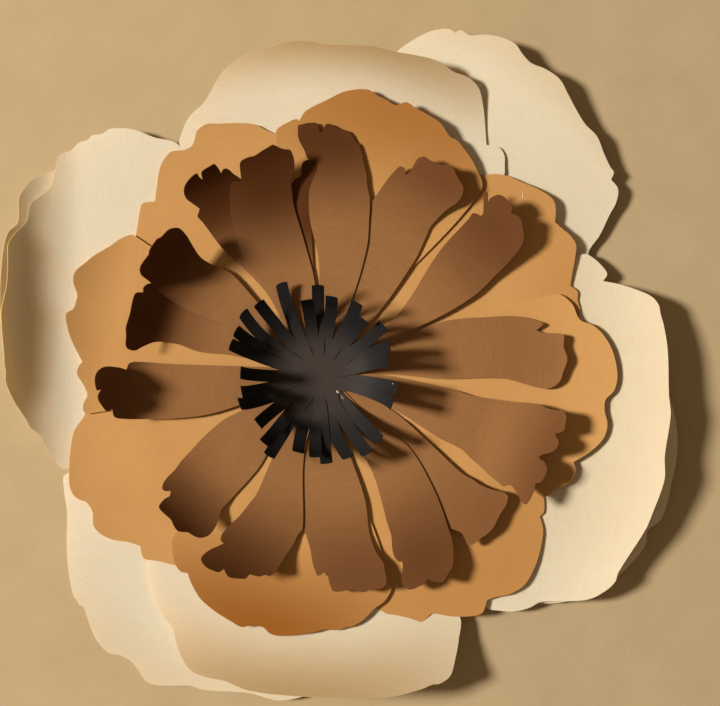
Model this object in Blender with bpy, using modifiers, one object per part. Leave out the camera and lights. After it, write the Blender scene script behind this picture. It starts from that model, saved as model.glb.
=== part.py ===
"""Giant paper flower: curled card petals in rings, glued on a backing disc.

The flower lies face up on its backing disc. The origin is the middle of the disc's back
face, +Z points out of the flower's face. Units are metres and degrees.
"""

import math
from collections import namedtuple

import bmesh
import bpy

# Reach of the longest cream petal from the flower's middle. The lengths of the petal
# templates, the fringe and the disc follow from it.
FLOWER_RADIUS = 0.250
OUTER_LENGTH = FLOWER_RADIUS
MIDDLE_LENGTH = 0.80 * FLOWER_RADIUS
INNER_LENGTH = 0.68 * FLOWER_RADIUS
FRINGE_LENGTH = 0.26 * FLOWER_RADIUS

# Card stock and glue
CARD = 0.0004
GLUE_GAP = 0.0003
PITCH = CARD + GLUE_GAP

# Backing disc
DISC_RADIUS = 0.30 * FLOWER_RADIUS
DISC_THICKNESS = 0.0024
DISC_SIDES = 48

# Every ring of petals: its template's length, the layer it is glued on, the share of the
# flower's radius where its petals begin, and how steeply they climb from there
Ring = namedtuple("Ring", "template_length layer root_share climb")
RINGS = {
    "outer_lower": Ring(OUTER_LENGTH, 0, 0.104, 0.012),
    "outer_upper": Ring(OUTER_LENGTH, 1, 0.100, 0.025),
    "middle_lower": Ring(MIDDLE_LENGTH, 2, 0.096, 0.050),
    "middle_upper": Ring(MIDDLE_LENGTH, 3, 0.092, 0.064),
    "inner_lower": Ring(INNER_LENGTH, 4, 0.076, 0.085),
    "inner_upper": Ring(INNER_LENGTH, 5, 0.072, 0.100),
}

# A rim is a run of (across, reach) pairs: across goes from one side of the petal, -1, to the
# other, 1, and reach is the share of the petal's full length there.
OUTER_RIM = [
    (-1.0, 0.77), (-0.95, 0.845), (-0.88, 0.868), (-0.81, 0.862), (-0.78, 0.848), (-0.71, 0.92),
    (-0.64, 0.968), (-0.59, 0.972), (-0.52, 0.990), (-0.36, 1.0), (-0.10, 0.985), (0.20, 0.998),
    (0.46, 0.990), (0.60, 0.968), (0.70, 0.925), (0.80, 0.882), (0.87, 0.875), (0.94, 0.845),
    (1.0, 0.78),
]
MIDDLE_RIM = [
    (-1.0, 0.76), (-0.92, 0.84), (-0.80, 0.878), (-0.66, 0.905), (-0.60, 0.893), (-0.54, 0.945),
    (-0.38, 0.98), (-0.20, 1.0), (-0.10, 0.99), (-0.03, 0.965), (0.14, 0.988), (0.24, 0.975),
    (0.36, 0.935), (0.43, 0.90), (0.52, 0.92), (0.70, 0.872), (0.79, 0.897), (0.90, 0.87),
    (1.0, 0.76),
]
INNER_RIM = [
    (-1.0, 0.84), (-0.84, 0.895), (-0.68, 0.900), (-0.61, 0.865), (-0.48, 0.955), (-0.26, 1.0),
    (-0.02, 0.965), (0.14, 0.995), (0.36, 0.970), (0.46, 0.905), (0.64, 0.925), (0.84, 0.890),
    (1.0, 0.80),
]

# Rows of points across a petal beyond its knee, where its curl starts, as shares of the way
# from there to its rim
OUTER_ROWS = (0.0, 0.33, 0.67, 1.0)
MIDDLE_ROWS = (0.0, 0.5, 1.0)
INNER_ROWS = (0.0, 0.33, 0.67, 1.0)
# Where a petal is short, its knee stays within this share of its length
KNEE_SHARE = 0.82
# Row of points between a strip petal's root and its knee, as a share of the knee's distance
WAIST_SHARE = 0.55

# How far a fan petal spreads at the flower's middle, and the share of its length at which it
# is fully spread; the share of a strip's length where it is widest
ROOT_SPREAD = 0.70
FULL_SPREAD = 0.5
WIDEST_AT = 0.82

# A fan petal has its heading, half its angle, its length, how much longer its
# counter-clockwise side is, and the heading, start and radius of its curl. Lengths, here and
# in the strip petals, are shares of the ring's template length.
FanPetal = namedtuple(
    "FanPetal",
    "name ring heading half_angle length longer_side curl_heading curl_start curl_radius mirrored",
)
OUTER_PETALS = [
    FanPetal("outer_petal_lower_top_right", "outer_lower", 50, 33, 1.016, 0.04, 50, 0.68, 2.00, False),
    FanPetal("outer_petal_lower_left", "outer_lower", 163, 33, 0.92, 0.0, 180, 0.672, 0.256, False),
    FanPetal("outer_petal_lower_bottom", "outer_lower", 243, 31, 0.968, 0.0, 243, 0.76, 1.20, False),
    FanPetal("outer_petal_lower_right", "outer_lower", 342, 34, 1.016, 0.0, 344, 0.76, 1.60, True),
    FanPetal("outer_petal_upper_top", "outer_upper", 84, 37.5, 0.928, 0.0, 84, 0.60, 0.36, False),
    FanPetal("outer_petal_upper_left", "outer_upper", 163, 39, 0.892, 0.0, 180, 0.656, 0.240, False),
    FanPetal("outer_petal_upper_bottom", "outer_upper", 267, 38, 0.916, 0.0, 266, 0.60, 0.36, False),
    FanPetal("outer_petal_upper_right", "outer_upper", 345, 39.5, 0.984, -0.04, 352, 0.66, 0.72, True),
]
MIDDLE_PETALS = [
    FanPetal("middle_petal_lower_top_right", "middle_lower", 32, 33, 0.97, 0.0, 32, 0.80, 2.00, True),
    FanPetal("middle_petal_lower_top_left", "middle_lower", 119, 33, 0.915, 0.0, 119, 0.75, 1.50, False),
    FanPetal("middle_petal_lower_left", "middle_lower", 211, 33, 0.92, 0.0, 211, 0.75, 1.50, False),
    FanPetal("middle_petal_lower_bottom", "middle_lower", 307, 33, 1.00, 0.0, 307, 0.80, 2.00, True),
    FanPetal("middle_petal_upper_top", "middle_upper", 74, 33, 0.97, 0.0, 74, 0.65, 1.50, True),
    FanPetal("middle_petal_upper_left", "middle_upper", 163, 33, 0.89, 0.0, 170, 0.60, 1.00, False),
    FanPetal("middle_petal_upper_bottom", "middle_upper", 257, 33, 0.915, 0.0, 257, 0.625, 1.25, False),
    FanPetal("middle_petal_upper_right", "middle_upper", 354, 33, 1.01, 0.0, 354, 0.70, 2.00, True),
]

# A strip petal swings from the heading at its root to the heading at its tip
StripPetal = namedtuple(
    "StripPetal", "ring root_heading tip_heading half_width length curl_start curl_radius mirrored"
)
INNER_PETALS = [
    StripPetal("inner_upper", 78, 88, 0.126, 1.024, 0.765, 0.706, False),
    StripPetal("inner_lower", 59, 58, 0.132, 0.988, 0.735, 0.588, True),
    StripPetal("inner_upper", 34, 40, 0.126, 1.024, 0.706, 0.471, False),
    StripPetal("inner_lower", 10, 3, 0.135, 1.018, 0.824, 0.882, True),
    StripPetal("inner_upper", 345, 337, 0.159, 1.012, 0.588, 0.588, False),
    StripPetal("inner_lower", 324, 317, 0.121, 0.953, 0.694, 0.50, True),
    StripPetal("inner_upper", 308, 299, 0.121, 0.971, 0.635, 0.412, False),
    StripPetal("inner_lower", 277, 280, 0.132, 0.935, 0.647, 0.412, True),
    StripPetal("inner_upper", 253, 244, 0.129, 0.924, 0.618, 0.324, False),
    StripPetal("inner_lower", 222, 227, 0.129, 0.90, 0.588, 0.294, True),
    StripPetal("inner_upper", 188, 184, 0.115, 0.947, 0.659, 0.20, False),
    StripPetal("inner_lower", 158, 164, 0.124, 0.835, 0.571, 0.247, True),
    StripPetal("inner_upper", 145, 142, 0.129, 0.912, 0.565, 0.229, False),
    StripPetal("inner_lower", 121, 119, 0.126, 0.99, 0.671, 0.271, True),
    StripPetal("inner_upper", 109, 104, 0.132, 0.955, 0.635, 0.294, False),
    StripPetal("inner_lower", 90, 92, 0.106, 0.888, 0.735, 1.765, True),
]

# The fringed centre is two discs. The strips of each point along these headings and have one
# curl, whose radius is a share of their length.
FringedDisc = namedtuple("FringedDisc", "name layer headings curl_share")
FRINGED_DISCS = [
    FringedDisc(
        "fringed_centre_lower", 6, (2, 38, 79, 99, 129, 154, 182, 206, 237, 274, 303, 334),
        0.85,
    ),
    FringedDisc(
        "fringed_centre_upper", 7, (15, 59, 90, 113, 142, 163, 196, 222, 257, 290, 318, 349),
        0.50,
    ),
]
FRINGE_UNCUT = 0.072 * FLOWER_RADIUS
FRINGE_HALF_WIDTH = 0.0168 * FLOWER_RADIUS
# Rows across a fringe strip, and its width at its root and at its blunt tip, all as shares
FRINGE_ROWS = (0.0, 0.25, 0.5, 0.75, 0.95, 1.0)
FRINGE_ROOT_SHARE = 0.70
FRINGE_TIP_SHARE = 0.60

COLOURS = {
    "outer": ((0.87, 0.75, 0.56, 1.0), 0.75),
    "middle": ((0.66, 0.35, 0.13, 1.0), 0.75),
    "inner": ((0.20, 0.09, 0.04, 1.0), 0.80),
    "fringe": ((0.010, 0.010, 0.011, 1.0), 0.70),
    "disc": ((0.80, 0.72, 0.58, 1.0), 0.85),
}


def clear_scene():
    for item in list(bpy.data.objects):
        bpy.data.objects.remove(item, do_unlink=True)


def make_collection(name):
    collection = bpy.data.collections.new(name)
    bpy.context.scene.collection.children.link(collection)
    return collection


def card_material(name):
    colour, roughness = COLOURS[name]
    material = bpy.data.materials.new(name + "_card")
    material.use_nodes = True
    shader = material.node_tree.nodes["Principled BSDF"]
    shader.inputs["Base Color"].default_value = colour
    shader.inputs["Roughness"].default_value = roughness
    shader.inputs["Metallic"].default_value = 0.0
    return material


def layer_height(layer):
    """Middle of the card that is glued on this layer, counted from the disc upwards."""
    return DISC_THICKNESS + GLUE_GAP + CARD / 2 + layer * PITCH


def root_radius(ring):
    return ring.root_share * FLOWER_RADIUS


def ring_height(ring, radius):
    """Height of a ring's card at this distance from the flower's middle, before its curl."""
    return layer_height(ring.layer) + ring.climb * (radius - root_radius(ring))


def mirrored(rim):
    return [(-across, reach) for across, reach in reversed(rim)]


def curl(along, start, radius):
    """Roll a distance along the card round a cylinder: the new distance and the height."""
    if along <= start:
        return along, 0.0
    angle = (along - start) / radius
    return start + radius * math.sin(angle), radius * (1 - math.cos(angle))


def turned(heading, along, side, height):
    """The point that lies so far along a heading in radians, and so far to the left of it."""
    return (
        along * math.cos(heading) - side * math.sin(heading),
        along * math.sin(heading) + side * math.cos(heading),
        height,
    )


def sheet_object(name, rows, material, collection):
    """A card sheet through rows of points, given its thickness by Solidify."""
    mesh = bpy.data.meshes.new(name)
    body = bmesh.new()
    grid = [[body.verts.new(point) for point in row] for row in rows]
    for near, far in zip(grid, grid[1:]):
        for column in range(len(near) - 1):
            body.faces.new((near[column], near[column + 1], far[column + 1], far[column]))
    bmesh.ops.recalc_face_normals(body, faces=body.faces)
    if sum(face.normal.z for face in body.faces) < 0:
        bmesh.ops.reverse_faces(body, faces=body.faces)
    body.to_mesh(mesh)
    body.free()
    card_object(name, mesh, material, collection)


def card_object(name, mesh, material, collection):
    """A piece of card from an open mesh, which becomes as thick as the card."""
    mesh.shade_smooth()
    mesh.materials.append(material)
    piece = bpy.data.objects.new(name, mesh)
    collection.objects.link(piece)
    thickness = piece.modifiers.new("card", "SOLIDIFY")
    thickness.thickness = CARD
    thickness.offset = 0.0
    thickness.use_even_offset = True


def fan_point(petal, across, radius):
    """A point of a fan petal, curled about a line square to its curl heading."""
    ring = RINGS[petal.ring]
    template = ring.template_length
    spread = min(1.0, radius / (FULL_SPREAD * petal.length * template))
    narrowing = ROOT_SPREAD + (1 - ROOT_SPREAD) * spread
    bearing = math.radians(petal.heading + across * petal.half_angle * narrowing)
    forward = math.radians(petal.curl_heading)
    along, rise = curl(
        radius * math.cos(bearing - forward), petal.curl_start * template, petal.curl_radius * template
    )
    side = radius * math.sin(bearing - forward)
    return turned(forward, along, side, ring_height(ring, radius) + rise)


def fan_petal(petal, rim, shares, material, collection):
    """A fan-shaped petal: the rim's run of points, repeated down to the petal's root."""
    ring = RINGS[petal.ring]
    if petal.mirrored:
        rim = mirrored(rim)
    rows = [[fan_point(petal, across, root_radius(ring)) for across, _ in rim]]
    for share in shares:
        row = []
        for across, reach in rim:
            end = petal.length * reach * (1 + petal.longer_side * across) * ring.template_length
            knee = min(petal.curl_start * ring.template_length, KNEE_SHARE * end)
            row.append(fan_point(petal, across, knee + (end - knee) * share))
        rows.append(row)
    sheet_object(petal.name, rows, material, collection)


def strip_width(share):
    """Half width of a strip petal as a share of its widest, from root to tip."""
    return math.sin(min(1.0, share / WIDEST_AT) * math.pi / 2)


def strip_point(petal, across, distance):
    """A point of a strip petal, whose heading swings from its root to its tip."""
    ring = RINGS[petal.ring]
    template = ring.template_length
    share = distance / (petal.length * template)
    swing = (petal.tip_heading - petal.root_heading) * share ** 2
    along, rise = curl(distance, petal.curl_start * template, petal.curl_radius * template)
    side = across * petal.half_width * template * strip_width(share)
    heading = math.radians(petal.root_heading + swing)
    return turned(heading, along, side, ring_height(ring, distance) + rise)


def strip_petal(name, petal, material, collection):
    """A strip petal with a notched tip, from its narrow root past its waist and knee."""
    ring = RINGS[petal.ring]
    rim = mirrored(INNER_RIM) if petal.mirrored else INNER_RIM
    curl_start = petal.curl_start * ring.template_length
    rows = []
    for distance in (root_radius(ring), WAIST_SHARE * curl_start):
        rows.append([strip_point(petal, across, distance) for across, _ in rim])
    for share in INNER_ROWS:
        row = []
        for across, reach in rim:
            end = petal.length * reach * ring.template_length
            knee = min(curl_start, KNEE_SHARE * end)
            row.append(strip_point(petal, across, knee + (end - knee) * share))
        rows.append(row)
    sheet_object(name, rows, material, collection)


def fringe_strip(disc, heading, body):
    """Pairs of points down one strip of a fringed disc, from the uncut middle to its tip."""
    half_angle = math.asin(FRINGE_HALF_WIDTH * FRINGE_ROOT_SHARE / FRINGE_UNCUT)
    root = FRINGE_UNCUT * math.cos(half_angle)
    pairs = []
    for share in FRINGE_ROWS:
        distance = root + (FRINGE_LENGTH - root) * share
        along, rise = curl(distance, FRINGE_UNCUT, disc.curl_share * FRINGE_LENGTH)
        width = FRINGE_ROOT_SHARE + (1 - FRINGE_ROOT_SHARE) * share
        if share == 1.0:
            width = FRINGE_TIP_SHARE
        side = FRINGE_HALF_WIDTH * width
        height = layer_height(disc.layer) + rise
        pairs.append([
            body.verts.new(turned(math.radians(heading), along, -side, height)),
            body.verts.new(turned(math.radians(heading), along, side, height)),
        ])
    return pairs


def fringed_disc(disc, material, collection):
    """An uncut middle whose rim carries curled strips, all one piece of card."""
    mesh = bpy.data.meshes.new(disc.name)
    body = bmesh.new()
    strips = [fringe_strip(disc, heading, body) for heading in disc.headings]
    rim = [corner for pairs in strips for corner in pairs[0]]
    middle = body.verts.new((0.0, 0.0, layer_height(disc.layer)))
    for first, second in zip(rim, rim[1:] + rim[:1]):
        body.faces.new((middle, first, second))
    for pairs in strips:
        for near, far in zip(pairs, pairs[1:]):
            body.faces.new((near[0], far[0], far[1], near[1]))
    body.to_mesh(mesh)
    body.free()
    card_object(disc.name, mesh, material, collection)


def backing_disc(material, collection):
    bpy.ops.mesh.primitive_cylinder_add(
        vertices=DISC_SIDES, radius=DISC_RADIUS, depth=DISC_THICKNESS,
        location=(0.0, 0.0, DISC_THICKNESS / 2),
    )
    disc = bpy.context.active_object
    disc.name = "backing_disc"
    for owner in list(disc.users_collection):
        owner.objects.unlink(disc)
    collection.objects.link(disc)
    disc.data.materials.append(material)


def build_flower():
    clear_scene()
    flower = make_collection("giant_paper_flower")
    card = {name: card_material(name) for name in COLOURS}
    backing_disc(card["disc"], flower)
    for petal in OUTER_PETALS:
        fan_petal(petal, OUTER_RIM, OUTER_ROWS, card["outer"], flower)
    for petal in MIDDLE_PETALS:
        fan_petal(petal, MIDDLE_RIM, MIDDLE_ROWS, card["middle"], flower)
    for number, petal in enumerate(INNER_PETALS, start=1):
        strip_petal(f"inner_petal_{number:02d}", petal, card["inner"], flower)
    for disc in FRINGED_DISCS:
        fringed_disc(disc, card["fringe"], flower)


build_flower()
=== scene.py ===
"""The look of the giant paper flower: cut and curled card petals round a fringed centre."""
import math
from collections import namedtuple

import bpy
import numpy as np
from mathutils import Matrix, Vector
from mathutils.geometry import delaunay_2d_cdt


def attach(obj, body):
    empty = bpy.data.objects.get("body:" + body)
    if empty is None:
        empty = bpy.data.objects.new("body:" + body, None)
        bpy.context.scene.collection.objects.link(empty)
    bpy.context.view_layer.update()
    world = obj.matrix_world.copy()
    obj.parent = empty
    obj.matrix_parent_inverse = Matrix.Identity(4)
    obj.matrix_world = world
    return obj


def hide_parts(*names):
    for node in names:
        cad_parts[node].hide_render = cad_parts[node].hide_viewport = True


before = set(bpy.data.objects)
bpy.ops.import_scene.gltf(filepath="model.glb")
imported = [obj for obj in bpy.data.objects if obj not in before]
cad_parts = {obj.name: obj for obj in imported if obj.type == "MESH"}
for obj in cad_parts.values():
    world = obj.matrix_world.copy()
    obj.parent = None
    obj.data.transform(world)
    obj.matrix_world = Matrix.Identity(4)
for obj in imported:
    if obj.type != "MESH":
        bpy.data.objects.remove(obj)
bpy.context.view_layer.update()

MM = 0.001

# Card and glue, in metres: the card's thickness, how high the middle of the first card lies over
# the back of the flower, and how far each layer of card and glue lies above the one below it
CARD = 0.0004
FIRST_LAYER = 0.0029
LAYER_PITCH = 0.0007

# The layer that a ring of petals is glued on, how far from the flower's middle its card begins,
# in metres, and how steeply it climbs from there
Ring = namedtuple("Ring", "layer root climb")
RINGS = {
    "outer_lower": Ring(0, 0.026, 0.012),
    "outer_upper": Ring(1, 0.025, 0.025),
    "middle_lower": Ring(2, 0.024, 0.030),
    "middle_upper": Ring(3, 0.023, 0.038),
    "inner_lower": Ring(4, 0.019, 0.048),
    "inner_upper": Ring(5, 0.018, 0.053),
}
FRINGE_LAYERS = {"lower": 6, "upper": 7}

# A petal is cut flat, then rolled: its ring, the heading that it is rolled along, where the
# roll starts and its radius in millimetres. Its edge is a run of points in millimetres,
# (distance along that heading, distance to the left of it), from its right side to its left.
Petal = namedtuple("Petal", "ring heading start radius edge")
OUTER_PETALS = {
    "upper_right": Petal("outer_upper", 352, 165, 180, (
        (139, -145), (148, -146), (158, -145), (168, -141), (175, -136), (195, -132), (208, -128),
        (218, -120), (223, -113), (224, -107), (238, -75), (241, -64), (246, -39), (244, -23),
        (244, 5), (241, 18), (236, 48), (231, 65), (228, 72), (226, 78), (221, 83), (213, 86),
        (199, 89), (187, 90), (189, 95), (185, 100), (178, 105), (172, 107), (166, 104))),
    "upper_top": Petal("outer_upper", 84, 163, 110, (
        (149, -114), (156, -114), (163, -113), (168, -109), (169, -100), (190, -96), (203, -92),
        (208, -89), (213, -82), (216, -71), (220, -64), (223, -54), (225, -30), (227, -13),
        (226, 4), (225, 20), (226, 30), (224, 44), (218, 59), (211, 74), (200, 86), (189, 92),
        (177, 98), (168, 106), (159, 110), (145, 111))),
    "upper_left": Petal("outer_upper", 180, 164, 60, (
        (96, -157), (114, -163), (127, -168), (138, -169), (145, -168), (149, -165), (156, -164),
        (159, -161), (165, -159), (170, -154), (178, -150), (181, -142), (184, -129), (189, -123),
        (198, -115), (201, -103), (210, -93), (214, -86), (214, -74), (215, -59), (219, -42),
        (219, -34), (218, -21), (217, -11), (217, -7), (216, -1), (216, 6), (210, 19), (202, 31),
        (198, 38), (192, 43), (189, 49), (185, 56), (174, 67))),
    "upper_bottom": Petal("outer_upper", 266, 150, 90, (
        (138, -107), (159, -104), (165, -101), (176, -94), (183, -87), (191, -84), (201, -79),
        (211, -71), (215, -60), (217, -47), (222, -33), (224, -16), (224, 11), (223, 38),
        (220, 65), (213, 85), (209, 93), (208, 98), (202, 105), (191, 108), (178, 110),
        (162, 110))),
    "lower_top_right": Petal("outer_lower", 50, 170, 500, (
        (150, -95), (182, -92), (187, -90), (199, -89), (214, -85), (223, -83), (231, -78),
        (233, -70), (238, -68), (239, -64), (243, -55), (249, -43), (250, -32), (253, -22),
        (258, -9), (262, 2), (261, 14), (258, 24), (259, 33), (261, 41), (258, 52), (253, 61),
        (246, 69), (245, 76), (241, 78), (241, 81), (239, 85), (231, 92), (220, 97), (206, 101),
        (170, 104))),
    "lower_left": Petal("outer_lower", 180, 168, 64, (
        (120, -136), (140, -143), (168, -143), (183, -140), (191, -136), (199, -132), (204, -125),
        (207, -119), (207, -110), (208, -102), (214, -96), (217, -88), (219, -74), (220, -57),
        (220, -42), (218, -24), (214, -7), (205, 9), (194, 23), (178, 38), (160, 48))),
    "lower_bottom": Petal("outer_lower", 243, 190, 300, (
        (143, -124), (153, -120), (166, -111), (186, -101), (201, -92), (215, -81), (217, -77),
        (219, -74), (219, -71), (228, -61), (235, -52), (239, -41), (237, -33), (237, -25),
        (240, -17), (244, -10), (244, -2), (234, 20), (232, 30), (220, 59), (215, 80), (200, 98),
        (180, 108))),
    "lower_right": Petal("outer_lower", 344, 190, 400, (
        (155, -112), (180, -114), (205, -108), (225, -95), (238, -80), (247, -64), (251, -52),
        (250, -42), (256, -33), (257, -18), (256, -4), (255, 10), (250, 30), (240, 49), (234, 54),
        (224, 66), (208, 82), (185, 92), (160, 94))),
}
MIDDLE_PETALS = {
    "upper_right": Petal("middle_upper", 354, 140, 400, (
        (164, -69), (172, -63), (180, -58), (183, -54), (184, -48), (182, -43), (192, -35),
        (200, -25), (202, -15), (199, -5), (199, 2), (204, 9), (205, 20), (200, 36), (192, 47),
        (185, 52), (176, 55), (169, 66), (157, 71))),
    "upper_top": Petal("middle_upper", 74, 130, 300, (
        (152, -74), (167, -65), (177, -53), (180, -48), (181, -43), (188, -34), (191, -24),
        (193, -15), (195, -8), (192, -3), (191, -1), (193, 7), (194, 13), (196, 20), (191, 34),
        (182, 45), (171, 57), (163, 60), (164, 61), (162, 65), (151, 73))),
    "upper_left": Petal("middle_upper", 170, 142, 120, (
        (141, -71), (149, -68), (156, -61), (165, -53), (170, -47), (176, -39), (176, -32),
        (172, -24), (172, -20), (173, -14), (177, -10), (176, -4), (171, 7), (161, 21), (163, 25),
        (163, 30), (158, 36), (153, 43), (155, 48), (155, 53), (152, 56))),
    "upper_bottom": Petal("middle_upper", 257, 125, 250, (
        (132, -71), (149, -67), (155, -61), (155, -56), (161, -52), (170, -43), (176, -31),
        (180, -19), (182, -11), (180, -6), (179, 3), (182, 9), (182, 16), (178, 29), (175, 37),
        (171, 45), (170, 52), (167, 58), (164, 64), (158, 70), (150, 75), (143, 81), (132, 83))),
    "lower_top_right": Petal("middle_lower", 32, 160, 400, (
        (150, -75), (176, -61), (179, -53), (182, -48), (180, -42), (185, -36), (193, -27),
        (198, -20), (198, -12), (196, -6), (194, 1), (199, 8), (201, 15), (197, 25), (189, 37),
        (180, 49), (168, 56), (145, 75))),
    "lower_top_left": Petal("middle_lower", 119, 150, 300, (
        (140, -75), (158, -55), (164, -50), (171, -45), (177, -36), (183, -24), (187, -16),
        (186, -8), (183, -5), (179, 0), (179, 6), (182, 13), (182, 17), (177, 26), (165, 36),
        (158, 41), (161, 49), (159, 52), (144, 64), (125, 80))),
    "lower_left": Petal("middle_lower", 211, 150, 300, (
        (136, -75), (153, -58), (165, -52), (174, -42), (182, -30), (187, -21), (188, -14),
        (186, -9), (183, -5), (183, 3), (187, 11), (186, 18), (181, 26), (172, 34), (167, 40),
        (169, 45), (169, 49), (161, 56), (154, 63), (131, 80))),
    "lower_bottom": Petal("middle_lower", 307, 160, 400, (
        (140, -78), (155, -66), (165, -61), (173, -54), (181, -47), (181, -41), (181, -37),
        (190, -28), (198, -17), (201, -9), (196, -1), (198, 5), (202, 14), (203, 26), (197, 40),
        (189, 51), (181, 59), (172, 63), (172, 66), (168, 70), (163, 73), (140, 80))),
}
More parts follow.
